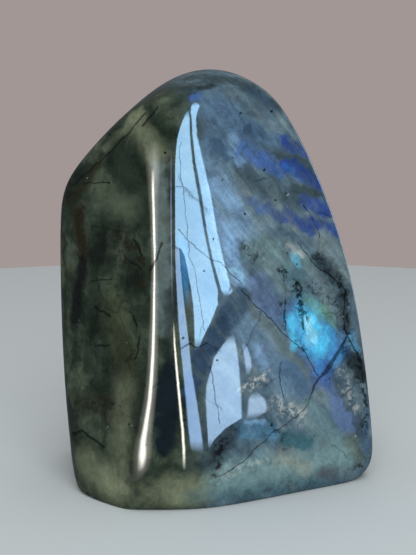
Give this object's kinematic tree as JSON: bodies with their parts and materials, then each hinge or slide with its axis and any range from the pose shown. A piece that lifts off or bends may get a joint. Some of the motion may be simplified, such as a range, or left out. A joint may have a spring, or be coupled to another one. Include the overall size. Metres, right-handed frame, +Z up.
{
  "type": "polished labradorite",
  "caption": "Freeform of labradorite ground to soft faces, polished all round and cut flat underneath to stand on its own, with a blue flashing front.",
  "frame": {"origin": "on the surface the stone stands on, under the middle of its width and depth", "axes": "+Z up, -Y out of the broad flashing front face, +X to the right as that face is looked at"},
  "size_m": [0.0656, 0.0502, 0.089],
  "materials": {
    "labradorite": "polished"
  },
  "bodies": {
    "root": {"stone": "labradorite"}
  },
  "joints": []
}
